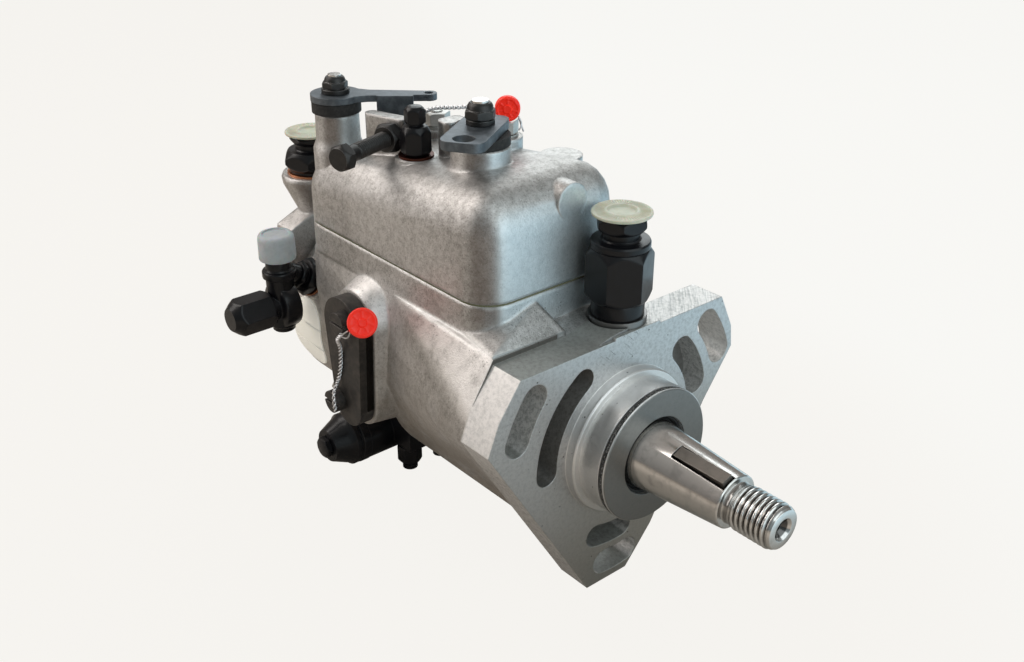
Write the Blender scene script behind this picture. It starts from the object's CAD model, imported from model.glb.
# %% [markdown]
# # Dressing a rotary fuel injection pump
# The CAD model holds the pump's true shapes and joints. This lesson gives it
# the look of the photographed one: cast and machined aluminium, a ground steel
# shaft with its thread, gloss black fittings, thin plastic caps and red seals.

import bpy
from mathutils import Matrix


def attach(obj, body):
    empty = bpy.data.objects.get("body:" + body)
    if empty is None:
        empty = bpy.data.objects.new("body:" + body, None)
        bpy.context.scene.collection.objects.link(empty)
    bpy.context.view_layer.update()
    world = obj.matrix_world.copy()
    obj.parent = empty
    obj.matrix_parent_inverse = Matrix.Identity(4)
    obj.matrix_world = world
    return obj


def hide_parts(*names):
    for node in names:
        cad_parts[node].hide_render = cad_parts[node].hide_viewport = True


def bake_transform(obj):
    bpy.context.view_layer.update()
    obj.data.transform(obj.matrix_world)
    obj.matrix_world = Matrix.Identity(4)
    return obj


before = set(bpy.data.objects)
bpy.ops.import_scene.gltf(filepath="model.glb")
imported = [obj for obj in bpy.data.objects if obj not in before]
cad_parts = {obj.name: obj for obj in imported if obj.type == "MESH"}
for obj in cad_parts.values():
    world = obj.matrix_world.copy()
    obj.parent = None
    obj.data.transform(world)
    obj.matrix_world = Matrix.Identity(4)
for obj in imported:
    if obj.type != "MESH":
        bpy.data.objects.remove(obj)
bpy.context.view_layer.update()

# %% Tools
import math

import bmesh
import bpy
import numpy as np
from mathutils import Matrix, Vector

MM = 0.001


def new_object(name, data):
    """An object that holds the data, linked to the scene."""
    made = bpy.data.objects.new(name, data)
    bpy.context.scene.collection.objects.link(made)
    return made


print("Blender", bpy.app.version_string)

# %% [markdown]
# ## The camera
# The photograph was taken from the shaft's end, from the lever side and from
# above. Its place, its three angles and its lens were worked out from the round
# and straight features of the pump, so the camera is set by those figures.

# %% Place the camera
CAMERA_PLACE = Vector((237.92, -254.01, 220.76)) * MM
CAMERA_TURN = [math.radians(angle) for angle in (49.60, 27.35, 0.20)]
LENS_PIXELS, FRAME_PIXELS, SENSOR = 1156.48, 1024, 36.0
NEAREST, FARTHEST = 0.01, 20


def camera_axes(azimuth, elevation, roll):
    """Right, up and backward of a camera: backward points from the object to the lens,
    right is level, and both are then rolled about the line of sight."""
    back = Vector((math.sin(azimuth) * math.cos(elevation),
                   -math.cos(azimuth) * math.cos(elevation), math.sin(elevation)))
    level = (-back).cross(Vector((0, 0, 1))).normalized()
    up = level.cross(-back)
    right = math.cos(roll) * level + math.sin(roll) * up
    return right, back.cross(right), back


camera = new_object("camera", bpy.data.cameras.new("camera"))
camera.data.sensor_width = SENSOR
camera.data.lens = LENS_PIXELS / FRAME_PIXELS * SENSOR
camera.data.clip_start, camera.data.clip_end = NEAREST, FARTHEST
facing = Matrix(camera_axes(*CAMERA_TURN)).transposed().to_4x4()
camera.matrix_world = Matrix.Translation(CAMERA_PLACE) @ facing
bpy.context.scene.camera = camera
print("lens", round(camera.data.lens, 2), "mm")

# %% [markdown]
# ## Shader maths
# A finish is easier to read as a formula than as a web of nodes. Signal wraps
# one socket, so that + - * and ** between signals and numbers add Math nodes.
# Material has a single method that adds any other node, Patterns adds places,
# noise and colours to it, and Finish adds soft edges and relief.


# %% Signals
class Signal:
    """A number or vector that changes over a surface: one output of a node."""

    def __init__(self, finish, socket):
        self.finish, self.socket = finish, socket

    def math(self, operation, *values):
        return self.finish.node("ShaderNodeMath", {"operation": operation}, dict(enumerate(values)))

    def __add__(self, other):
        return self.math("ADD", self, other)

    def __sub__(self, other):
        return self.math("SUBTRACT", self, other)

    def __rsub__(self, other):
        return self.math("SUBTRACT", other, self)

    def __mul__(self, other):
        return self.math("MULTIPLY", self, other)

    def __pow__(self, other):
        return self.math("POWER", self, other)

    __radd__, __rmul__ = __add__, __mul__

    def wave(self):
        """A sine wave of the value, from 0 to 1."""
        return self.math("SINE", self) * 0.5 + 0.5

    def over(self, low, high):
        """0 below low, 1 above high and a smooth rise between them."""
        return self.finish.node("ShaderNodeMapRange", {"interpolation_type": "SMOOTHSTEP"},
                                {0: self, 1: low, 2: high, 3: 0.0, 4: 1.0})

    def past(self, low, high):
        """The same for a length: 0 up to low and 1 from high on, both in millimetres."""
        return self.over(low * MM, high * MM)

    def before(self, low, high):
        """1 up to low and 0 from high on, both in millimetres."""
        return 1 - self.past(low, high)


# %% Material
class Material:
    """One material built round a Principled shader."""

    def __init__(self, name, **fixed):
        self.material = bpy.data.materials.new(name)
        self.material.use_nodes = True
        self.tree = self.material.node_tree
        self.shader = self.tree.nodes["Principled BSDF"]
        for socket, value in fixed.items():
            self.shader.inputs[socket.replace("_", " ")].default_value = value
        self.place = self.node("ShaderNodeTexCoord", output="Object")
        self.x, self.y, self.z = self.parts(self.place)

    def node(self, kind, settings=None, inputs=None, output=0):
        """Adds a node, makes its settings, then gives its sockets values or links."""
        node = self.tree.nodes.new(kind)
        for key, value in (settings or {}).items():
            setattr(node, key, value)
        for key, value in (inputs or {}).items():
            if isinstance(value, Signal):
                self.tree.links.new(value.socket, node.inputs[key])
            else:
                node.inputs[key].default_value = value
        return Signal(self, node.outputs[output])

    def feed(self, **signals):
        """Links signals to the shader's own sockets."""
        for socket, signal in signals.items():
            self.tree.links.new(signal.socket, self.shader.inputs[socket.replace("_", " ")])

    def parts(self, vector):
        """The x, y and z of a vector."""
        return [self.node("ShaderNodeSeparateXYZ", inputs={0: vector}, output=k) for k in range(3)]

    def vector(self, x, y, z):
        """A vector from three signals."""
        return self.node("ShaderNodeCombineXYZ", inputs={0: x, 1: y, 2: z})


# %% Patterns
class Patterns(Material):
    """Places on the piece, noise, and colours mixed by them."""

    def facing(self):
        """How far the surface faces along x, y and z: from -1 to 1 each."""
        return self.parts(self.node("ShaderNodeTexCoord", output="Normal"))

    def off_axis(self):
        """Distance from the shaft's axis: the root of y squared plus z squared."""
        return (self.y * self.y + self.z * self.z) ** 0.5

    def noise(self, size, detail=3.0, rough=0.5, where=None):
        """Cloudy noise whose patches are about size millimetres across; where is a vector that
        takes the place of the object coordinates."""
        return self.node("ShaderNodeTexNoise", {}, {
            "Vector": where or self.place, "Scale": 1 / (size * MM), "Detail": detail, "Roughness": rough})

    def dots(self, size):
        """Distance to scattered points that are about size millimetres apart."""
        return self.node("ShaderNodeTexVoronoi", {}, {"Vector": self.place, "Scale": 1 / (size * MM)})

    def stretched(self, x, y, z):
        """Object coordinates scaled by a factor along each axis."""
        return self.node("ShaderNodeMapping", {}, {"Vector": self.place, "Scale": (x, y, z)})

    def mix(self, factor, first, second):
        """Colour that goes from the first to the second as factor rises."""
        def colour(value):
            return value if isinstance(value, Signal) else (*value, 1)
        return self.node("ShaderNodeMix", {"data_type": "RGBA"},
                         {0: factor, 6: colour(first), 7: colour(second)}, output=2)


# %% Soft edges and relief
class Finish(Patterns):
    """A finish also bends the surface's normal."""

    def rounded(self, radius):
        """Normal of the surface with its edges rounded to that radius in millimetres."""
        return self.node("ShaderNodeBevel", {"samples": 6}, {"Radius": radius * MM})

    def edges(self, soft):
        """1 on an edge, 0 on a flat: how far the rounded normal leaves the plain one."""
        plain = self.node("ShaderNodeNewGeometry", output="Normal")
        return 1 - self.node("ShaderNodeVectorMath", {"operation": "DOT_PRODUCT"},
                             {0: soft, 1: plain}, output="Value")

    def bump(self, height, depth, normal=None, strength=1.0):
        """Normal of a relief whose heights of 0 to 1 stand for depth millimetres."""
        inputs = {"Height": height, "Distance": depth * MM, "Strength": strength}
        if normal:
            inputs["Normal"] = normal
        return self.node("ShaderNodeBump", {}, inputs)


def shade(tone, factor):
    """A colour made darker by a factor."""
    return tuple(part * factor for part in tone)


print("finishes are ready to be written")

# %% [markdown]
# ## Aluminium
# The body and the cover are die cast and blasted, which leaves a fine grey
# grain, darker blotches and bright worn edges. Where a cutter has passed, on the
# flange and the spigot, the same casting is smooth and shows tool marks, so one
# material holds both skins and a mask made from object coordinates parts them.

# %% Colours of the castings
CAST_LIGHT, CAST_DARK, CAST_SPARK = (0.63, 0.615, 0.60), (0.30, 0.285, 0.27), (0.88, 0.87, 0.86)
CAST_LOW, CAST_FRONT, CAST_CORNER = (0.44, 0.385, 0.33), (0.74, 0.86, 0.92), (0.16, 0.125, 0.11)
CAST_WORN, CAST_EDGE, SOOT = (0.93, 0.91, 0.89), (0.80, 0.80, 0.79), (0.07, 0.065, 0.06)
MILLED, MILLED_DARK, MILLED_LOW = (0.60, 0.60, 0.60), (0.34, 0.335, 0.33), (0.36, 0.32, 0.26)
SPIGOT_TURNED, PIT = (0.88, 0.86, 0.84), (0.05, 0.045, 0.04)
SIDE_CUT, SIDE_HATCH = (0.80, 0.78, 0.76), (0.30, 0.31, 0.31)
SIDE_TOP, SIDE_TOP_DARK = (0.33, 0.34, 0.32), (0.24, 0.24, 0.22)
SLOT_WALL, TRENCH_WALL = (0.24, 0.23, 0.21), (0.10, 0.09, 0.08)
POCKET_FLOOR, POCKET_RIDGE = (0.13, 0.115, 0.10), (0.50, 0.47, 0.44)
SPIGOT_END, SPIGOT_END_DARK = (0.17, 0.165, 0.155), (0.12, 0.115, 0.11)
CAST_METAL, SIDE_METAL = 0.84, 0.42
print("light, dark and sparkling skin:", CAST_LIGHT, CAST_DARK, CAST_SPARK)


# %% Cast skin
def cast_grain(f):
    """Height of a blasted skin: fine noise on coarser noise."""
    return f.noise(0.55, 4, 0.6) * 0.6 + f.noise(1.9, 3, 0.55) * 0.4


def cast_skin(f):
    """Light grey with darker blotches, clouds and specks, and small bright sparks."""
    blotch = f.noise(2.6, 6, 0.72).over(0.38, 0.66) * 0.5
    cloud = f.noise(24, 3, 0.5).over(0.4, 0.7) * 0.35
    speck = f.noise(0.65, 4, 0.75).over(0.50, 0.70) * 0.5
    spark = f.noise(0.75, 4, 0.75).over(0.57, 0.68) * 0.5
    return f.mix(spark, f.mix(blotch + cloud + speck, CAST_LIGHT, CAST_DARK), CAST_SPARK)


def cast_tones(f, skin):
    """The skin by its place: browner low on the body, rubbed bright on the shoulder, cooler in
    front, darker on the cover's front corners and sooty on both sides of the gasket."""
    ahead, aside, upward = f.facing()
    low = f.z.before(-20, 34) * f.noise(12, 4, 0.6).over(0.2, 0.6)
    skin = f.mix(low * 0.6, skin, CAST_LOW)
    shoulder = upward.over(0.0, 0.34) * f.y.before(-38, -30) * f.z.before(41, 44)
    skin = f.mix(shoulder * f.noise(6, 4, 0.6).over(0.2, 0.6) * 0.75, skin, CAST_WORN)
    skin = f.mix(ahead.over(0.75, 0.98) * f.z.past(20, 50) * 0.5, skin, CAST_FRONT)
    corner = (ahead * aside * -2.0).over(0.45, 0.95) * f.z.past(42, 50)
    skin = f.mix(corner * 0.6, skin, CAST_CORNER)
    joint = f.z.past(30, 41) * f.z.before(50, 56)
    soot = f.noise(0.7, 4, 0.75).over(0.57, 0.63) * f.noise(9, 3, 0.6).over(0.42, 0.62) * joint
    return f.mix(soot * 0.75, skin, SOOT)


# %% Casting
def cast_alloy(name, fillet, machined=None):
    """Blasted casting with fillets of that radius in millimetres; machined is a function that
    lays the look of its cut faces over it."""
    f = Finish(name, Metallic=CAST_METAL, Roughness=0.5)
    soft = f.rounded(fillet)
    grain = cast_grain(f)
    edge = f.edges(soft).over(0.02, 0.25)
    look = {"Base_Color": f.mix(edge * 0.45, cast_tones(f, cast_skin(f)), CAST_EDGE),
            "Roughness": 0.34 + grain * 0.22 - edge * 0.08, "Normal": f.bump(grain, 0.26, soft, 0.85)}
    f.feed(**(machined(f, look, grain) if machined else look))
    return f.material


# %% Zones of the flange
TURN_MARKS = 0.55
POCKET_MIDDLE = 36


class FlangeZones:
    """Masks of the flange, each 1 in its own place, from the place along the shaft, the distance
    from its axis and the way the surface faces."""

    def __init__(self, f):
        ahead, _, upward = f.facing()
        ahead, below_deck = ahead.over(0.5, 0.8), f.z.before(39, 40.5)
        self.radius = f.off_axis()
        self.plate, self.spigot = f.x.past(-14.4, -14.1), self.radius.before(27.6, 27.9)
        self.turned_end = self.spigot * f.x.past(15.3, 15.6)
        self.side = (1 - ahead) * (1 - self.spigot)
        self.floor = ahead * (1 - self.spigot) * f.x.before(-1.2, -0.6)
        self.top = upward.over(0.85, 0.97) * f.y.before(6, 17)
        self.slot_wall = self.side * self.radius.before(52, 61) * below_deck
        self.trench = self.side * self.radius.before(42, 43) * below_deck


# %% Tones of the machined faces
def milled_tone(f, zone, mottle, rings, pits):
    """Mottled plate, brighter on the spigot, browner low down, with pits and a scratched patch."""
    scratch = f.noise(0.8, 3, 0.7, f.vector(f.x, f.y + f.z, (f.y - f.z) * 0.06)).over(0.60, 0.66)
    patch = f.y.past(-18, -10) * f.y.before(2, 10) * f.z.past(28, 34)
    low = 1 - (f.z - f.y * 0.3).past(-46, 16)
    face = f.mix(mottle * 0.5 + rings * 0.12, MILLED, MILLED_DARK)
    face = f.mix(zone.spigot * 0.75, face, SPIGOT_TURNED)
    face = f.mix(low * 0.55, face, MILLED_LOW)
    return f.mix((pits + scratch * patch) * 0.85, face, PIT)


def side_tone(f, zone, mottle):
    """Sides of the plate: hatched by the cutter above the deck, dark walls in slots and trenches."""
    lay = f.vector(f.x + f.y, (f.x - f.y) * 0.05, f.z * 0.3)
    hatch = f.noise(0.9, 3, 0.7, lay).over(0.46, 0.66) * f.z.past(39, 40.5) * f.y.past(-16, 12)
    sides = f.mix(hatch * 0.6 + mottle * 0.3, SIDE_CUT, SIDE_HATCH)
    sides = f.mix(zone.top * 0.85, sides, f.mix(mottle, SIDE_TOP, SIDE_TOP_DARK))
    sides = f.mix(zone.slot_wall * (0.05 + mottle * 0.5), sides, SLOT_WALL)
    return f.mix(zone.trench * (0.75 - f.y.past(0, 10) * 0.5), sides, TRENCH_WALL)


def floor_tone(f, zone):
    """Dark pocket floors with a paler ridge along their middle."""
    off_middle = (zone.radius - POCKET_MIDDLE * MM) * (1 / MM)
    ridge = 1 - (off_middle * off_middle).over(0.02, 0.6)
    return f.mix(ridge, POCKET_FLOOR, POCKET_RIDGE)


# %% The flange and the two castings
def flange_cuts(f, look, grain):
    """The cast look, and on the flange plate the look of its machined faces instead."""
    zone = FlangeZones(f)
    mottle = f.noise(1.5, 6, 0.75).over(0.40, 0.66)
    rings = (zone.radius * (2 * math.pi / (TURN_MARKS * MM))).wave()
    pits = (1 - f.dots(3.4).over(0.07, 0.12)) * f.noise(11, 2, 0.5).over(0.46, 0.56)
    tone = f.mix(zone.side, milled_tone(f, zone, mottle, rings, pits), side_tone(f, zone, mottle))
    tone = f.mix(zone.floor * (0.85 - f.y.past(0, 10) * 0.45), tone, floor_tone(f, zone))
    tone = f.mix(zone.turned_end * 0.9, tone, f.mix(rings * 0.4 + mottle * 0.2, SPIGOT_END, SPIGOT_END_DARK))
    relief = rings * 0.3 + mottle * 0.4 + pits * -2 + grain * zone.slot_wall * 6
    cut_rough = 0.30 + mottle * 0.14 + zone.side * 0.12
    return {"Base_Color": f.mix(zone.plate, look["Base_Color"], tone),
            "Metallic": CAST_METAL - zone.plate * zone.side * SIDE_METAL,
            "Roughness": look["Roughness"] + zone.plate * (cut_rough - look["Roughness"]),
            "Normal": f.node("ShaderNodeMix", {"data_type": "VECTOR"}, {
                0: zone.plate, 4: look["Normal"], 5: f.bump(relief, 0.05, f.rounded(0.5), 0.6)}, output=1)}


cast_housing = cast_alloy("cast_housing", 2.4, flange_cuts)
cast_cover = cast_alloy("cast_cover", 1.6)
print("cast materials:", cast_housing.name, cast_cover.name)

# %% [markdown]
# ## Steels and black fittings
# The shaft is ground, so it has very fine lines round it and tight highlights.
# The unions and the outlet are chemically blackened and oiled, nearly black with
# a clear gloss; the levers and the plate have a flatter brown-black oxide.

# %% Ground steel
THREAD_START, THREAD_END, THREAD_ROOT, THREAD_CREST = 51.6, 69.4, 6.95, 7.75
TAPER_START, TAPER_RADIUS, TAPER_FALL = 17, 12.2, 0.0752
SEAT_START, SEAT_END = 18, 50.6


def shaft_oil(f):
    """Where oil stays: between the crests of the thread, and in the key seat, which is as deep
    as the taper's radius minus the distance from the axis."""
    radius = f.off_axis()
    thread = f.x.past(THREAD_START, THREAD_START + 0.8) * f.x.before(THREAD_END, THREAD_END + 0.3)
    depth = TAPER_RADIUS * MM - (f.x - TAPER_START * MM) * TAPER_FALL - radius
    seat = f.x.past(SEAT_START, SEAT_START + 2) * f.x.before(SEAT_END, SEAT_END + 0.3)
    return thread * radius.before(THREAD_ROOT, THREAD_CREST) + seat * depth.past(0.15, 0.5)


def ground_steel(name, tone, rough=0.24):
    """Ground steel with fine lines across the X axis and faint stains."""
    f = Finish(name, Metallic=1.0)
    lines = f.noise(0.16, 2, 0.6, f.stretched(1, 0.03, 0.03))
    stain = f.noise(5, 5, 0.65).over(0.45, 0.75)
    clean = f.mix(stain * 0.6 + lines * 0.25, tone, shade(tone, 0.5))
    f.feed(Base_Color=f.mix(shaft_oil(f), clean, shade(tone, 0.16)),
           Roughness=rough + lines * 0.1 + stain * 0.1,
           Normal=f.bump(lines, 0.01, f.rounded(0.25), 0.35))
    return f.material


# %% Plated steel and copper
COPPER, COPPER_DARK = (0.66, 0.29, 0.16), (0.44, 0.18, 0.09)
WASHER_STEEL, VENT_COPPER = (0.24, 0.235, 0.23), (0.10, 0.035, 0.025)
PLATING_EDGE = (0.8, 0.8, 0.8)


def plated_steel(name, tone, rough=0.34):
    """Dull plating: cloudy tone, fine scratches and brighter edges."""
    f = Finish(name, Metallic=1.0)
    soft = f.rounded(0.25)
    cloud = f.noise(2.4, 5, 0.65)
    edge = f.edges(soft).over(0.03, 0.3)
    f.feed(Base_Color=f.mix(edge * 0.6, f.mix(cloud, tone, shade(tone, 0.6)), PLATING_EDGE),
           Roughness=rough + cloud * 0.18, Normal=f.bump(f.noise(0.4, 3, 0.6), 0.02, soft, 0.4))
    return f.material


def washer_metal(name):
    """Copper, but dark steel under the front union and red-brown under the vent."""
    f = Finish(name, Metallic=1.0)
    cloud = f.noise(2.4, 5, 0.65)
    union = f.mix(f.x.past(-31, -30), f.mix(cloud, COPPER, COPPER_DARK), WASHER_STEEL)
    f.feed(Base_Color=f.mix(f.z.past(80, 81), union, VENT_COPPER), Roughness=0.3 + cloud * 0.18,
           Normal=f.bump(f.noise(0.4, 3, 0.6), 0.02, f.rounded(0.25), 0.4))
    return f.material


# %% Black finishes
OILED_BLACK, OILED_BLACK_WORN = (0.003, 0.003, 0.004), (0.007, 0.007, 0.009)
FITTING_EDGE, OXIDE_EDGE = (0.10, 0.10, 0.11), (0.20, 0.185, 0.17)


def gloss_black(name):
    """Oiled black fitting: near black, glossy, with greyer rubbed edges."""
    f = Finish(name, Metallic=0.0, Coat_Weight=0.12, Coat_Roughness=0.1, Specular_IOR_Level=0.28)
    soft = f.rounded(0.35)
    smear = f.noise(4, 4, 0.6)
    edge = f.edges(soft).over(0.02, 0.22) * f.noise(1.2, 3, 0.6).over(0.3, 0.6)
    f.feed(Base_Color=f.mix(edge * 0.5, f.mix(smear, OILED_BLACK, OILED_BLACK_WORN), FITTING_EDGE),
           Roughness=0.22 + smear * 0.2, Normal=f.bump(f.noise(0.7, 3, 0.5), 0.02, soft, 0.3))
    return f.material


def brown_oxide(name, low, high, metal=0.55):
    """Oxide on a pressed steel part: matt, cloudy from low to high, fine pits, rubbed edges."""
    f = Finish(name, Metallic=metal)
    soft = f.rounded(0.45)
    cloud = f.noise(3.5, 5, 0.65)
    pits = f.noise(0.5, 4, 0.6)
    edge = f.edges(soft).over(0.03, 0.3) * f.noise(1.6, 4, 0.7).over(0.35, 0.6)
    f.feed(Base_Color=f.mix(edge * 0.7, f.mix(cloud.over(0.35, 0.7), low, high), OXIDE_EDGE),
           Roughness=0.40 + cloud * 0.2, Normal=f.bump(pits, 0.04, soft, 0.5))
    return f.material


print("steel finishes are written")

# %% [markdown]
# ## Plastics, rubber and small metals
# The transport caps are thin polythene, which lets light through, so they get a
# little subsurface light. The seals are moulded red plastic with a soft gloss.
# They and the cream plate catch light from all round the studio, which a faint
# emission of their own colour stands for.

# %% Plastics, rubber and paper
RUBBER_BLACK, RUBBER_BLOOM, DUST = (0.018, 0.018, 0.018), (0.05, 0.048, 0.046), (0.42, 0.40, 0.38)
PAPER_DARK, PAPER_LIGHT = (0.10, 0.105, 0.06), (0.22, 0.22, 0.13)


def soft_plastic(name, tone, deep, inner=0.0, rough=0.38, lift=0.0):
    """Moulded plastic with a faint cloud and the orange peel of its mould; inner is its share of
    light from below the skin, lift the strength of its own faint light."""
    f = Finish(name, Roughness=rough, Subsurface_Weight=inner, Subsurface_Scale=1.5 * MM,
               Specular_IOR_Level=0.45, Emission_Color=(*tone, 1), Emission_Strength=lift)
    cloud = f.noise(3, 4, 0.6)
    f.feed(Base_Color=f.mix(cloud.over(0.35, 0.75), tone, deep), Roughness=rough + cloud * 0.15,
           Normal=f.bump(f.noise(0.8, 3, 0.55), 0.03, f.rounded(0.25), 0.35))
    return f.material


def rubber(name):
    """Matt black rubber with a bloom, and dust on the large ring round the spigot."""
    f = Finish(name, Roughness=0.7, Specular_IOR_Level=0.35)
    bloom = f.noise(1.5, 5, 0.7)
    dust = f.noise(0.45, 3, 0.7).over(0.50, 0.62) * f.off_axis().past(20, 21) * f.x.past(0, 1)
    black = f.mix(bloom.over(0.4, 0.8), RUBBER_BLACK, RUBBER_BLOOM)
    f.feed(Base_Color=f.mix(dust * 0.8, black, DUST), Roughness=0.55 + bloom * 0.25,
           Normal=f.bump(bloom, 0.03, f.rounded(0.25), 0.4))
    return f.material


def fibre(name):
    """Olive gasket paper with fine fibres."""
    f = Finish(name, Roughness=0.8)
    fibres = f.noise(0.5, 5, 0.7)
    f.feed(Base_Color=f.mix(fibres, PAPER_DARK, PAPER_LIGHT), Normal=f.bump(fibres, 0.05, strength=0.5))
    return f.material


# %% One finish for each slot of the record
FINISHES = {
    "cast_aluminium": cast_cover,
    "black_rubber": rubber("black_rubber_skin"),
    "bronze": plated_steel("bronze_bush", (0.62, 0.44, 0.22)),
    "ground_steel": ground_steel("ground_shaft", (0.74, 0.72, 0.695), 0.12),
    "blackened_steel": plated_steel("blackened_nut", (0.075, 0.073, 0.072), 0.36),
    "gloss_black": gloss_black("gloss_black_fitting"),
    "cream_plastic": soft_plastic("cream_polythene", (0.60, 0.61, 0.49), (0.52, 0.53, 0.40), 0.3),
    "copper": washer_metal("copper_washer"),
    "gasket_fibre": fibre("gasket_paper"),
    "zinc_steel": plated_steel("dull_zinc", (0.62, 0.61, 0.58)),
    "brown_oxide": brown_oxide("brown_oxide_skin", (0.045, 0.042, 0.040), (0.085, 0.076, 0.068)),
    "red_plastic": soft_plastic("red_seal", (1.0, 0.030, 0.012), (0.96, 0.018, 0.008), 0.05, 0.3, 0.16),
    "bright_wire": plated_steel("bright_lock_wire", (0.98, 0.98, 1.0), 0.3),
    "white_plastic": soft_plastic("milky_cap", (0.50, 0.54, 0.56), (0.42, 0.46, 0.48), 0.5),
    "cream_label": soft_plastic("cream_plate", (0.94, 0.92, 0.84), (0.88, 0.85, 0.74), 0.0, 0.42, 0.24),
    "spring_steel": ground_steel("spring_wire", (0.42, 0.42, 0.44)),
}
blued_lever = brown_oxide("blued_lever", (0.10, 0.115, 0.13), (0.17, 0.19, 0.21), 0.8)
BY_NODE = {
    "pump_housing": cast_housing,
    "drive_key": ground_steel("key_stock", (0.27, 0.245, 0.22), 0.3),
    "throttle_lever": blued_lever,
    "shutoff_lever": blued_lever,
}
print(len(FINISHES), "finishes for slots,", len(BY_NODE), "nodes with one of their own")

# %% [markdown]
# ## The CAD nodes
# Their meshes are loose triangles and stay as they are. A small geometry nodes
# modifier welds them on the fly and shades them smooth, except across sharp
# edges, so that a turned part looks round and a milled one keeps its corners.


# %% Welding and smoothing modifier
def smoothing_group(angle, gap=1e-6):
    """Weld points closer than gap metres, drop the stored normals, then smooth every edge
    flatter than the angle in degrees."""
    group = bpy.data.node_groups.new("weld_and_smooth", "GeometryNodeTree")
    group.interface.new_socket("Geometry", in_out="INPUT", socket_type="NodeSocketGeometry")
    group.interface.new_socket("Geometry", in_out="OUTPUT", socket_type="NodeSocketGeometry")
    nodes = {key: group.nodes.new(kind) for key, kind in {
        "in": "NodeGroupInput", "weld": "GeometryNodeMergeByDistance",
        "drop": "GeometryNodeRemoveAttribute", "faces": "GeometryNodeSetShadeSmooth",
        "bend": "GeometryNodeInputMeshEdgeAngle", "test": "FunctionNodeCompare",
        "edges": "GeometryNodeSetShadeSmooth", "out": "NodeGroupOutput"}.items()}
    nodes["weld"].inputs["Distance"].default_value = gap
    nodes["drop"].inputs["Name"].default_value = "custom_normal"
    nodes["edges"].domain = "EDGE"
    nodes["edges"].inputs["Shade Smooth"].default_value = False
    nodes["test"].inputs["B"].default_value = math.radians(angle)
    links = [("in", 0, "weld", 0), ("weld", 0, "drop", 0), ("drop", 0, "faces", 0),
             ("faces", 0, "edges", 0), ("bend", 0, "test", 0), ("edges", 0, "out", 0)]
    for source, out, target, into in links:
        group.links.new(nodes[source].outputs[out], nodes[target].inputs[into])
    group.links.new(nodes["test"].outputs[0], nodes["edges"].inputs["Selection"])
    return group


weld_and_smooth = smoothing_group(28)
for node_name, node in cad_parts.items():
    kept_slot = node.material_slots[0].material.name
    node.material_slots[0].material = BY_NODE.get(node_name, FINISHES[kept_slot])
    node.modifiers.new("weld_and_smooth", "NODES").node_group = weld_and_smooth

print("dressed", len(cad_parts), "CAD nodes")

# %% [markdown]
# ## Surfaces from formulas
# Turned and hexagonal parts share one idea: a grid of points whose rows are
# heights along an axis and whose columns are angles round it. Each kind of
# section only says how far the surface is from the axis.

# %% Angles round the axis, in degrees, closer together at a hexagon's corners
HEX_STEPS = np.array([-30, -29.2, -28, -26, -22.5, -18, -12, -6, 0, 6, 12, 18, 22.5, 26, 28, 29.2])
SWEEP = np.radians(np.concatenate([60 * k + 30 + HEX_STEPS for k in range(6)]))
HEX_SIDE = math.pi / 3
print(len(SWEEP), "angles in a turn")


def soft_min(a, b, softness):
    """The smaller of two distances, with the crossing rounded by softness."""
    return -softness * np.logaddexp(-a / softness, -b / softness)


def turned(points):
    """Round section: the radius follows the (radius, height) points at every angle."""
    p = np.array(points, float)
    return p[:, 1], np.repeat(p[:, :1], len(SWEEP), 1)


def hexagon(across, z1, z2, low=None, high=None, edge=0.12):
    """Hexagonal section: half the width across flats over the cosine of the angle off the
    nearest flat's middle, with a corner at angle 0. A cone, given as its radius at the end and
    its growth per height, cuts the low and the high end."""
    flat = across / 2 / np.cos(SWEEP % HEX_SIDE - HEX_SIDE / 2)
    reach = [(across / math.sqrt(3) - c[0]) / c[1] if c else 0 for c in (low, high)]
    steps = np.linspace(0, 1.3, 12)
    z = np.unique(np.concatenate([z1 + reach[0] * steps, z2 - reach[1] * steps, [z1, z2]]))
    radius = np.repeat(flat[None], len(z), 0)
    for cone, away in ((low, z - z1), (high, z2 - z)):
        if cone:
            radius = soft_min(radius, (cone[0] + cone[1] * away)[:, None], edge)
    return z, radius


def thread(outer, pitch, depth, z1, z2, fade=0.8, rows=12, flank=2.9, crest=0.42):
    """Screw section: the radius falls by depth in a trapezoid wave of height minus pitch times
    the turned share of the angle. The wave has rows for each pitch, steep flanks and flat crests,
    and fades out at both ends."""
    z = np.linspace(z1, z2, max(8, int((z2 - z1) / pitch * rows)))
    phase = (z[:, None] / pitch - SWEEP[None] / (2 * math.pi)) % 1
    wave = np.clip(np.abs(phase - 0.5) * flank - crest, 0, 1)
    ends = np.clip(np.minimum(z - z1, z2 - z) / (fade * pitch), 0, 1)[:, None]
    return z, outer - depth * (wave * ends + (1 - ends) * 0.5)


# %% Grid to mesh
SAME_POINT, NO_LENGTH = 1e-7, 1e-8


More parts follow.
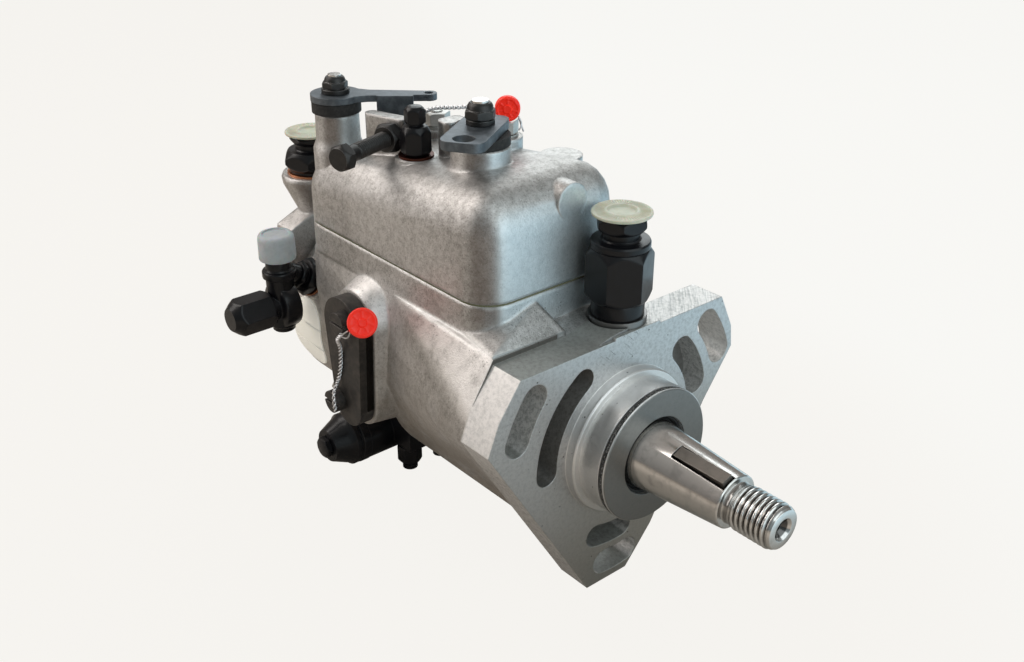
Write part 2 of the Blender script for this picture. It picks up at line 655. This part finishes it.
def skin(points, tube=False):
    """Mesh over a grid of points in millimetres whose columns run round: quads between rows,
    with a flat face on the first and last row, or, in a tube, quads from the last to the first."""
    rows, columns = points.shape[:2]
    i = np.arange(rows if tube else rows - 1)[:, None]
    j = np.arange(columns)[None]
    k, n = (j + 1) % columns, (i + 1) % rows
    corners = [i * columns + j, i * columns + k, n * columns + k, n * columns + j]
    faces = np.stack(corners, -1).reshape(-1, 4).tolist()
    if not tube:
        faces += [list(range(columns - 1, -1, -1)), list(range((rows - 1) * columns, rows * columns))]
    mesh = bpy.data.meshes.new("skin")
    mesh.from_pydata((points.reshape(-1, 3) * MM).tolist(), [], faces)
    work = bmesh.new()
    work.from_mesh(mesh)
    bmesh.ops.remove_doubles(work, verts=work.verts, dist=SAME_POINT)
    bmesh.ops.dissolve_degenerate(work, edges=work.edges, dist=NO_LENGTH)
    bmesh.ops.recalc_face_normals(work, faces=work.faces)
    work.to_mesh(mesh)
    work.free()
    return mesh


# %% Meshes to a piece on its body
def add_piece(name, meshes, slot, body, stands_for=(), crease=34):
    """Joins meshes into one object, shades it smooth but for edges sharper than crease degrees,
    and gives it its finish and its body. A body may be two names and two points, in metres,
    between which the piece bends from one to the other."""
    work = bmesh.new()
    for mesh in meshes:
        work.from_mesh(mesh)
        bpy.data.meshes.remove(mesh)
    joined = bpy.data.meshes.new(name)
    work.to_mesh(joined)
    work.free()
    joined.shade_smooth()
    joined.set_sharp_from_angle(angle=math.radians(crease))
    piece = new_object(name, joined)
    joined.materials.append(FINISHES[slot])
    if isinstance(body, tuple):
        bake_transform(piece)
    else:
        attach(piece, body)
    if stands_for:
        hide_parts(*stands_for)
    print(name, len(joined.polygons), "faces on", body)
    return piece


# %% Sections round an axis
def axes_about(axis):
    """Unit vector along an axis and two across it."""
    ahead = np.array(axis, float) / np.linalg.norm(axis)
    side = np.array((0.0, 0, 1)) if abs(ahead[2]) < 0.9 else np.array((1.0, 0, 0))
    side -= ahead * (side @ ahead)
    side /= np.linalg.norm(side)
    return ahead, side, np.cross(ahead, side)


def stack(origin, axis, sections, turn=0.0, tube=False):
    """Mesh of sections stacked along an axis from origin; turn is in degrees."""
    ahead, side, across = axes_about(axis)
    z = np.concatenate([s[0] for s in sections])
    radius = np.concatenate([s[1] for s in sections])
    angle = SWEEP + math.radians(turn)
    round_about = np.cos(angle)[:, None] * side + np.sin(angle)[:, None] * across
    return skin(np.array(origin) + z[:, None, None] * ahead + radius[..., None] * round_about, tube)


# %% [markdown]
# ## The drive shaft
# The visible end is a ground taper with a key, an undercut, and a thread that
# takes the nut of the drive gear. The thread is a helix cut into the radius, so
# the whole shaft is one turned grid; the key seat is cut afterwards.

# %% Shaft with its thread
SHAFT = [
    turned([(0, -100), (11.6, -100), (12.6, -99), (12.6, 16.2), (12.2, 17), (9.75, 49.6), (9.6, 51),
            (9.2, 51.4), (7.5, 51.5), (7.3, 51.9), (7.3, 53.6), (7.6, 54.2)]),
    thread(8, 2, 1.15, 54.2, 69.4),
    turned([(7.2, 69.7), (6.9, 70.3), (6.5, 70.5), (4.1, 70.5), (3.9, 70.2), (2.1, 68.2), (1.9, 67.8),
            (1.9, 63), (0, 62)]),
]
KEY_TILT, SEAT_PLACE, SEAT_SIZE = math.radians(23), (39.7, 0, 11.4), (22.4, 5.9, 8)


def keyed(mesh):
    """Cuts the key seat, a long box tilted from the top towards the lever side."""
    cutter = bpy.data.meshes.new("key_seat")
    work = bmesh.new()
    box = Matrix.Diagonal(Vector(SEAT_SIZE) * MM).to_4x4()
    bmesh.ops.create_cube(work, size=1, matrix=Matrix.Rotation(KEY_TILT, 4, "X")
                          @ Matrix.Translation(Vector(SEAT_PLACE) * MM) @ box)
    work.to_mesh(cutter)
    work.free()
    shaft, seat = new_object("shaft_blank", mesh), new_object("key_seat", cutter)
    cut = shaft.modifiers.new("seat", "BOOLEAN")
    cut.object, cut.operation, cut.solver = seat, "DIFFERENCE", "EXACT"
    bpy.context.view_layer.update()
    done = bpy.data.meshes.new_from_object(shaft.evaluated_get(bpy.context.evaluated_depsgraph_get()))
    for scrap in (shaft, seat):
        bpy.data.objects.remove(scrap)
    return done


add_piece("shaft_threaded", [keyed(stack((0, 0, 0), (1, 0, 0), SHAFT))], "ground_steel", "drive",
          ["drive_shaft"])

# %% [markdown]
# ## Unions, plugs and the vent
# Every hexagon here is cut from bar in a lathe, so its corners end in a cone.
# Collars, necks and the small steps between them are turned in the same grid.


# %% Union on the flange, union on the end plate
def fitting(name, meshes, node, crease=26):
    """A gloss black piece that stays with the pump and stands for one CAD node."""
    add_piece(name, meshes, "gloss_black", "pump", [node], crease)


UP = (0, 0, 1)
FRONT_UNION, REAR_UNION, VENT = (-11, 5.5, 0), (-166, -19.5, 0), (-84, -25, 0)
fitting("union_front", [stack(FRONT_UNION, UP, [
    turned([(0, 34.6), (6.6, 34.6), (6.95, 35), (6.95, 43.6), (9, 43.62), (9.3, 43.9), (9.3, 48.4),
            (9.1, 49)]),
    hexagon(20.6, 49.4, 68, low=(10.3, 0.9), high=(10.0, 0.7)),
    turned([(9.5, 68.02), (10.15, 68.3), (10.3, 68.6), (10.3, 70.2), (10, 70.8), (9.3, 71), (7, 71.05),
            (6.5, 71.5), (6.5, 73.6), (6, 74.2), (0, 74.2)])], turn=-5)],
    "flange_union")
fitting("union_rear", [stack(REAR_UNION, UP, [
    turned([(0, 48.8), (6.6, 48.8), (6.95, 49.2), (6.95, 58.8), (9.4, 58.82), (9.7, 59.1), (9.7, 60)]),
    hexagon(20.6, 60.2, 67.9, low=(9.8, 0.9), high=(9.6, 0.7)),
    turned([(9.4, 68), (6.9, 68.02), (6.5, 68.4), (6.5, 70.4), (6, 70.9), (0, 70.9)])], turn=20)],
    "inlet_union")


# %% Plugs of both unions
PLUG_FOOT, PLUG_ACROSS, PLUG_CONE = 3.9, 16, 0.8


def hex_plug(seat, foot, z1, z2, end, turn=0.0):
    """Plug with a plain foot; both ends of its hexagon are coned from that end radius."""
    cone = (end, PLUG_CONE)
    return stack(seat, UP, [turned([(0, foot), (PLUG_FOOT, foot), (PLUG_FOOT, z1 - 0.1)]),
                            hexagon(PLUG_ACROSS, z1, z2, cone, cone), turned([(0, z2)])], turn)


fitting("union_plugs_hex", [hex_plug(FRONT_UNION, 68, 74.3, 79.6, 7.8, 20),
                            hex_plug(REAR_UNION, 65, 71, 74.5, 7.4)], "union_plugs")

# %% Vent with its breather cap
fitting("vent_breather", [stack(VENT, UP, [
    turned([(0, 80), (2.9, 80), (3, 87.9), (4.3, 88)]),
    hexagon(9.8, 88.05, 98.2, low=(4.6, 1.0), high=(4.15, 0.62)),
    turned([(3.6, 98.5), (2.9, 98.8), (2.9, 99.1)]),
    hexagon(6.8, 99.2, 104.6, low=(3.3, 1.4), high=(3.2, 0.9)),
    turned([(2.9, 104.8), (2.6, 105.2), (1.5, 105.5), (0, 105.6)])], turn=-15)],
    "vent_fitting")

# %% [markdown]
# ## Locking nuts and stop screws
# The nuts on the two control shafts are of the self locking kind: a hexagon
# with a round domed collar above it. The stop screws carry real helical threads.


# %% Nuts
def ring(z1, z2, bore, outer, edge=0.2):
    """Plain washer with broken edges, as a closed section from bore to bore."""
    return [turned([(bore, z1), (outer - edge, z1), (outer, z1 + edge), (outer, z2 - edge),
                    (outer - edge, z2), (bore, z2)])]


def locking_nut(z1, z2, across, bore):
    """Hexagon below and domed collar above, round a bore."""
    inner, collar = across / 2, z1 + (z2 - z1) * 0.56
    return [turned([(bore, z1)]),
            hexagon(across, z1, collar, low=(inner * 1.03, 1.4), high=(inner * 1.02, 1.2)),
            turned([(inner * 0.93, collar + 0.1), (inner * 0.9, z2 - 1.1), (inner * 0.82, z2 - 0.4),
                    (inner * 0.72, z2), (bore, z2)])]


THROTTLE, SHUTOFF = (-55.5, -18.5, 0), (-124.7, -31.5, 0)
add_piece("throttle_locking_nut", [
    stack(THROTTLE, UP, ring(104.6, 106.4, 2.96, 4.9), tube=True),
    stack(THROTTLE, UP, locking_nut(106.55, 111.9, 9.6, 2.94), 12, tube=True)],
    "blackened_steel", "throttle", ["throttle_nut"], 30)
add_piece("shutoff_locking_nut", [
    stack(SHUTOFF, UP, ring(102.45, 104.3, 2.56, 5.2), tube=True),
    stack(SHUTOFF, UP, locking_nut(104.35, 108.7, 8.5, 2.54), 12, tube=True)],
    "blackened_steel", "shutoff", ["shutoff_nut"], 30)

# %% Stop screws
STOP_TURN = math.radians(108)
STOP_LUG, STOP_WAY = (-97, -22, 92), (math.cos(STOP_TURN), math.sin(STOP_TURN), 0)
IDLE = (0, -13.5, 96.8)


def plain_nut(z1, z2, across, bore, low, high):
    """Hexagon round a bore, coned at both ends."""
    return [turned([(bore, z1)]), hexagon(across, z1, z2, low, high), turned([(bore, z2)])]


add_piece("stop_screws_threaded", [
    stack(STOP_LUG, STOP_WAY, [
        turned([(0, -36)]), hexagon(8.8, -36, -31.2, low=(3.9, 0.75), high=(4.2, 1.2)),
        turned([(3.3, -31), (3, -30.8), (3, -27)]), thread(3, 1, 0.45, -26.9, 7.2),
        turned([(2.6, 7.6), (2.2, 8), (0, 8)])], 8),
    stack(STOP_LUG, STOP_WAY, plain_nut(-10.2, -5.05, 10, 3.06, (4.6, 0.8), (4.7, 0.8)), 20, tube=True),
    stack(IDLE, (1, 0, 0), [turned([(0, -82), (1.8, -81.9)]), thread(2.2, 0.8, 0.36, -81.8, -66.9),
                            turned([(1.9, -66.6), (1.5, -66.4), (0, -66.4)])]),
    stack(IDLE, (1, 0, 0), plain_nut(-73.95, -70.6, 7, 2.26, (3.2, 0.8), (3.2, 0.8)), 10, tube=True)],
    "blackened_steel", "pump", ["stop_screws"], 30)

# %% [markdown]
# ## Transport caps
# The thin cream caps have fine radial ribs and a dished middle, so their grid is
# a disc of radii and angles with its own number of columns. The milky cap on the
# outlet is a turned cup.


# %% Pressed discs
def disc(origin, axis, profile, columns, relief, first):
    """Turned grid of its own fineness: a profile of (radius, height) points, with
    relief(radius, angle) added to the height from the point of that number on."""
    angle = np.linspace(0, 2 * math.pi, columns, endpoint=False)
    radius, height = (np.repeat(row[:, None], columns, 1) for row in np.array(profile, float).T)
    height[first:] += relief(radius[first:], angle[None])
    ahead, side, across = axes_about(axis)
    spoke = np.cos(angle)[:, None] * side + np.sin(angle)[:, None] * across
    return skin(np.array(origin) + height[..., None] * ahead + radius[..., None] * spoke)


def band(radius, inner, outer, soft_in, soft_out):
    """1 between two radii, falling to 0 over the soft widths on their inner sides."""
    return np.clip((radius - inner) / soft_in, 0, 1) * np.clip((outer - radius) / soft_out, 0, 1)


# %% Ribbed caps
RIBS, RIB_HEIGHT, CAP_COLUMNS, CAP_TOP = 56, 0.16, 336, 5
CAP = [(0, 0), (9.7, 0), (10.25, 0.12), (10.4, 0.5), (10.3, 0.95), (9.8, 1.15), (9.5, 1.12), (8.8, 1.1),
       (8, 1.1), (7, 1.12), (6.2, 1.15), (5.8, 1.2), (5.4, 1.38), (5, 1.3), (4.6, 0.8), (4.1, 0.62),
       (3, 0.58), (0, 0.6)]


def cap_ribs(radius, angle):
    """Fine radial ribs between the rim and the dished middle: a sine of the angle."""
    return band(radius, 5.8, 9.7, 0.6, 0.4) * RIB_HEIGHT * np.sin(angle * RIBS)


add_piece("ribbed_dust_caps", [disc((x, y, z), UP, CAP, CAP_COLUMNS, cap_ribs, CAP_TOP)
                               for (x, y, _), z in ((FRONT_UNION, 79.7), (REAR_UNION, 74.6))],
          "cream_plastic", "pump", ["union_dust_caps"], 50)

# %% Milky cup on the outlet
OUTLET = (-145, -51, 0)
add_piece("milky_cup", [stack(OUTLET, UP, [turned([
    (0, 34.3), (6.9, 34.3), (7.25, 34.5), (7.4, 35), (7.35, 38), (7.3, 42.6), (7.1, 44), (6.6, 44.8),
    (5.9, 45.1), (5.4, 45), (5.1, 44.5), (0, 44.4)])])], "white_plastic", "pump", ["outlet_dust_cap"], 40)

# %% [markdown]
# ## Delivery outlet
# A banjo shaped body on a two-hexagon adaptor. Its blanking cap is a long
# hexagon whose end is turned to a cone.

# %% Outlet pieces
SEAT_TURN = math.radians(150)
SEAT, SEAT_AXIS = (-147, 0, 0), (0, math.cos(SEAT_TURN), math.sin(SEAT_TURN))
TEE_HEIGHT, TEE_AXIS = 14, (0, -1, 0)
fitting("outlet_hexagons", [stack(SEAT, SEAT_AXIS, [
    turned([(0, 26), (4.9, 26), (4.95, 41), (6.3, 41.02)]),
    hexagon(14, 41.05, 45.5, low=(6.7, 0.9), high=(6.5, 0.75)),
    turned([(4.6, 45.6), (4.6, 45.95)]), hexagon(10, 46, 48.5, low=(4.7, 0.9), high=(4.6, 0.8)),
    turned([(0, 48.6)])], 14)], "outlet_adaptor")
fitting("outlet_banjo", [
    stack(SEAT, SEAT_AXIS, [turned([(0, 48.7), (3.8, 48.75), (3.8, 54), (0, 54)])]),
    stack(OUTLET, UP, [turned([
        (0, 3), (4.2, 3), (4.6, 3.4), (4.6, 5), (5.3, 5.1), (5.6, 5.5), (5.6, 26), (6.1, 26.4), (6.7, 26.6),
        (6.8, 27), (6.8, 29), (6.5, 29.5), (5.6, 29.8), (5.2, 30.4), (5.2, 33.6), (4.9, 34.2), (0, 34.2)])]),
    stack((OUTLET[0], OUTLET[1], TEE_HEIGHT), TEE_AXIS, [turned([
        (0, -4.5), (8.6, -4.5), (9.3, -4.1), (9.6, -3.4), (9.6, 1.9), (9.3, 2.6), (8.6, 3), (5.9, 3.1),
        (5.6, 3.4), (5.6, 5.7), (5.2, 6), (0, 6)])])],
    "outlet_body", 30)
fitting("blanking_hexagon", [stack((OUTLET[0], -57.1, TEE_HEIGHT), TEE_AXIS, plain_nut(
    0, 17.4, 13.7, 0, (6.9, 1.0), (4.7, 0.86)), 30)], "outlet_blanking_cap")

# %% [markdown]
# ## Lead seals and locking wire
# Each seal is a pressed disc that faces outwards, with a raised rim, a button in
# the middle and pressed rays. The wire is two thin strands wound round each other:
# each strand is a tube round the path plus a turning offset.


# %% Seals
RAYS, RAY_HEIGHT, SEAL_COLUMNS, SEAL_TOP = 7, 0.16, 112, 6


def seal_rays(radius, angle):
    """Pressed rays between the button and the rim: the positive half of a cosine, cubed."""
    return band(radius, 1.7, 3.9, 0.3, 0.3) * RAY_HEIGHT * np.maximum(np.cos(angle * RAYS), 0) ** 3


def seal(centre, axis, size):
    """Pressed disc: back, edge, raised rim, flat with rays, and a button in the middle."""
    rim = [(size - inset, lift) for inset, lift in (
        (0.5, -1.7), (0.1, -1.5), (0, -1.1), (0.05, 1.1), (0.4, 1.5), (0.9, 1.55), (1.2, 1.25))]
    button = [(1.7, 1.2), (1.5, 1.5), (1.3, 1.75), (0.7, 1.7), (0, 1.65)]
    profile = [(0, -1.7)] + rim + [(3.2, 1.15), (2.6, 1.15), (2.1, 1.15)] + button
    return disc(centre, axis, profile, SEAL_COLUMNS, seal_rays, SEAL_TOP)


SEALS = {"cover": ((-63.7, 0.3, 104.2), (0.76, -0.65, 0.03), 4.5),
         "plate": ((-70.1, -60.5, 37.5), (0.76, -0.473, 0.449), 5.4)}
add_piece("pressed_seals", [seal(*values) for values in SEALS.values()], "red_plastic", "pump",
          ["lead_seals"], 40)


# %% Paths
PATH_TILT = (0.23, 0.41, 0.88)


def smooth_path(points, step=0.35):
    """Points of a curve through the given ones, about step millimetres apart: each
    coordinate is a natural cubic in the travelled length."""
    p = np.array(points, float)
    t = np.concatenate([[0], np.cumsum(np.linalg.norm(np.diff(p, axis=0), axis=1))])
    n, h = len(p), np.diff(t)
    system, right = np.eye(n), np.zeros_like(p)
    for i in range(1, n - 1):
        system[i, i - 1:i + 2] = h[i - 1], 2 * (h[i - 1] + h[i]), h[i]
        right[i] = 6 * ((p[i + 1] - p[i]) / h[i] - (p[i] - p[i - 1]) / h[i - 1])
    bend = np.linalg.solve(system, right)
    u = np.linspace(0, t[-1], int(t[-1] / step))
    k = np.clip(np.searchsorted(t, u) - 1, 0, n - 2)
    a, b, g = ((t[k + 1] - u) / h[k])[:, None], ((u - t[k]) / h[k])[:, None], (h[k] ** 2 / 6)[:, None]
    return a * p[k] + b * p[k + 1] + ((a ** 3 - a) * bend[k] + (b ** 3 - b) * bend[k + 1]) * g


def axes_across(path):
    """Two unit vectors across a path at each of its points: the path's direction crossed with
    a fixed one that no path here follows, and then with the result."""
    heading = np.gradient(path, axis=0)
    heading /= np.linalg.norm(heading, axis=1)[:, None]
    across = np.cross(heading, PATH_TILT)
    across /= np.linalg.norm(across, axis=1)[:, None]
    return across, np.cross(heading, across)


# %% Tubes
def tube(path, radius, sides=8):
    """Round tube along a path: circles across the path's direction, with closed ends."""
    across, other = axes_across(path)
    angle = np.linspace(0, 2 * math.pi, sides, endpoint=False)[:, None]
    spoke = np.cos(angle) * across[:, None] + np.sin(angle) * other[:, None]
    return skin(path[:, None] + radius * spoke)


def twisted(points, pitch=3.5, wire=0.35, apart=0.48, step=0.22):
    """Two strands half a turn apart round one path, a full turn in each pitch."""
    path = smooth_path(points, step)
    across, other = axes_across(path)
    turn = np.arange(len(path))[:, None] * step / pitch * 2 * math.pi
    offset = apart * (np.cos(turn) * across + np.sin(turn) * other)
    return [tube(path + offset, wire), tube(path - offset, wire)]


# %% Twisted wire
LOOP_WIRE = 0.3
PLATE_WIRE = [(-81.3, -62.5, 29.2), (-85.2, -61.9, 25.4), (-88.6, -59.2, 20.5), (-90, -58.3, 14),
              (-91.3, -58.3, 8), (-92.4, -59.4, 2.6), (-91.6, -61.2, 0.4), (-90.3, -62.4, -2.6),
              (-89.8, -62.5, -6.7)]
COVER_WIRE = [(-68.1, -2.6, 103.2), (-72.9, -1.5, 103.4), (-76, -1.9, 103.2), (-81, -4, 101.8),
              (-86, -7.5, 101), (-91, -10, 100.2), (-95.4, -11.4, 98.4), (-98.3, -12.2, 95.6),
              (-99.5, -12.9, 93.4)]
LOOPS = [
    [(-72.5, -65.2, 34.9), (-76.6, -64.4, 32), (-81.3, -62.5, 29.4)],
    [(-72, -64.6, 34.2), (-77, -63, 29.6), (-82.6, -61.9, 27.6)],
    [(-60.6, 2.6, 101.6), (-59.4, 3, 98.9), (-59.8, 2.2, 96.9)],
    [(-61.2, 3.2, 101.4), (-60.4, 3.8, 98.4), (-58.9, 3.6, 96.4)],
]
add_piece("twisted_lock_wires", twisted(PLATE_WIRE) + twisted(COVER_WIRE)
          + [tube(smooth_path(loop), LOOP_WIRE) for loop in LOOPS], "bright_wire", "pump", ["seal_wires"], 60)

# %% [markdown]
# ## Governor spring
# The spring hooks on to the arm inside the cover. A rigid copy would cut the arm
# when it tips, so it is a helix whose far end stays with the pump while its near
# end follows the arm: it shortens as the weights push the arm over.

# %% Spring inside the cover
SPRING_END, SPRING_LENGTH, SPRING_RADIUS, SPRING_WIRE = (-30.4, -8, 74), 23.7, 2.2, 0.45
SPRING_TURNS, TURN_STEPS = 9, 24
PUMP_END, ARM_END = (-0.0541, -0.008, 0.074), (-0.0309, -0.008, 0.074)


def helix():
    """Path of the wire's middle: a circle of the angle, moved along x by the turned share."""
    along = np.linspace(0, 1, SPRING_TURNS * TURN_STEPS + 1)
    angle = 2 * math.pi * SPRING_TURNS * along
    reach = -SPRING_WIRE - (SPRING_LENGTH - 2 * SPRING_WIRE) * along
    aside, upward = SPRING_RADIUS * np.sin(angle), SPRING_RADIUS * np.cos(angle)
    return np.array(SPRING_END) + np.stack([reach, aside, upward], 1)


add_piece("governor_coil", [tube(helix(), SPRING_WIRE)], "ground_steel",
          ("pump", "arm", PUMP_END, ARM_END), ["governor_spring"], 60)

# %% [markdown]
# ## Light and background
# The pump stands in even studio light on a pale floor that melts into the
# background. Light Path tells camera rays from the others: the camera sees one
# plain off-white, while the metal reflects a world that is darker low down.

# %% Floor
BACKDROP = (0.949, 0.932, 0.898)
WARM, COOL = (1.0, 0.90, 0.82), (0.78, 0.95, 1.0)
FLOOR_Z, FLOOR_HALF = -60.6 * MM, 4
PAPER, PAPER_GRAIN = (0.34, 0.31, 0.27), (0.37, 0.33, 0.29)
GLOW_REAR, GLOW_NEAR, GLOW_FAR = (0.10, 0.08, 0.062), (0.25, 0.22, 0.19), (0.42, 0.66, 0.80)
PLAIN_SHARE = 0.95


def floor_paper():
    """Paper that shows the camera plain off-white and a little shading. For the metal it also
    glows: not below the pump, warm grey on the lever side and cool on the far side."""
    f = Finish("floor_paper", Roughness=0.9, Emission_Strength=1.0)
    off_middle = f.x + 50 * MM
    away = ((off_middle * off_middle + f.y * f.y) ** 0.5).past(90, 260)
    near = f.mix(f.x.past(-200, 100), GLOW_REAR, GLOW_NEAR)
    glow = f.mix((f.x * 0.5 + f.y).past(0, 230), near, GLOW_FAR)
    f.feed(Base_Color=f.mix(f.noise(8, 3, 0.5), PAPER, PAPER_GRAIN),
           Emission_Color=f.mix(away, (0, 0, 0), glow))
    plain = f.node("ShaderNodeEmission", {}, {"Color": (*BACKDROP, 1), "Strength": 1.0})
    seen = f.node("ShaderNodeLightPath", output="Is Camera Ray")
    both = f.node("ShaderNodeMixShader", {}, {0: seen * PLAIN_SHARE, 2: plain})
    f.tree.links.new(f.shader.outputs[0], both.socket.node.inputs[1])
    f.tree.links.new(both.socket, f.tree.nodes["Material Output"].inputs["Surface"])
    return f.material


plane = bpy.data.meshes.new("floor")
corners = [(x * FLOOR_HALF, y * FLOOR_HALF, FLOOR_Z) for x, y in ((-1, -1), (1, -1), (1, 1), (-1, 1))]
plane.from_pydata(corners, [], [(0, 1, 2, 3)])
plane.materials.append(floor_paper())
floor = new_object("floor", plane)
print("floor at", round(FLOOR_Z, 4), "m")

# %% World
DOME_RISE, TINT_SWEEP = (-0.3, 0.9, 0.14, 0.40), (-0.5, 0.8, 0, 1)


def studio_world():
    """Off-white for the camera. For light and reflections a dome that is dark low down and
    brighter above, warm towards the levers and cool towards the shaft's end."""
    world = bpy.data.worlds.new("studio")
    bpy.context.scene.world = world
    world.use_nodes = True
    tree = world.node_tree
    tree.nodes.clear()
    place, split, out = (tree.nodes.new(k) for k in (
        "ShaderNodeTexCoord", "ShaderNodeSeparateXYZ", "ShaderNodeOutputWorld"))
    rise, sweep = tree.nodes.new("ShaderNodeMapRange"), tree.nodes.new("ShaderNodeMapRange")
    dome, paper, mix = (tree.nodes.new(k) for k in (
        "ShaderNodeBackground", "ShaderNodeBackground", "ShaderNodeMixShader"))
    tint, path = tree.nodes.new("ShaderNodeMix"), tree.nodes.new("ShaderNodeLightPath")
    tint.data_type = "RGBA"
    tint.inputs[6].default_value, tint.inputs[7].default_value = (*WARM, 1), (*COOL, 1)
    for node, values in ((rise, DOME_RISE), (sweep, TINT_SWEEP)):
        for socket, value in zip(("From Min", "From Max", "To Min", "To Max"), values):
            node.inputs[socket].default_value = value
    paper.inputs["Color"].default_value = (*BACKDROP, 1)
    for a, b in ((place.outputs["Generated"], split.inputs[0]), (split.outputs["Z"], rise.inputs["Value"]),
                 (split.outputs["X"], sweep.inputs["Value"]), (sweep.outputs[0], tint.inputs[0]),
                 (tint.outputs[2], dome.inputs["Color"]), (rise.outputs[0], dome.inputs["Strength"]),
                 (path.outputs["Is Camera Ray"], mix.inputs[0]), (dome.outputs[0], mix.inputs[1]),
                 (paper.outputs[0], mix.inputs[2]), (mix.outputs[0], out.inputs["Surface"])):
        tree.links.new(a, b)


studio_world()
print("dome strength from", DOME_RISE[2], "to", DOME_RISE[3])

# %% Lamps: place in millimetres, side in metres, power in watts, and tint
LAMP_AIM = (-50, 0, 20)
LAMPS = {
    "key_softbox": ((-560, -330, 620), 0.54, 3.0, WARM),
    "rim_softbox": ((-480, 460, 420), 0.5, 1.8, COOL),
    "near_card": ((-640, -720, 270), 0.45, 1.2, WARM),
    "front_card": ((700, 60, 400), 0.95, 3.6, COOL),
}


def softbox(name, place, size, power, tint):
    """A square area lamp that faces the middle of the pump, with half of its tint."""
    lamp = bpy.data.lights.new(name, "AREA")
    lamp.size, lamp.energy, lamp.color = size, power, [0.5 + c / 2 for c in tint]
    box = new_object(name, lamp)
    box.location = Vector(place) * MM
    box.rotation_euler = (Vector(LAMP_AIM) * MM - box.location).to_track_quat("-Z", "Y").to_euler()


for lamp_name, lamp_values in LAMPS.items():
    softbox(lamp_name, *lamp_values)
bpy.context.scene.view_settings.view_transform = "Standard"
print("lamps:", ", ".join(LAMPS))
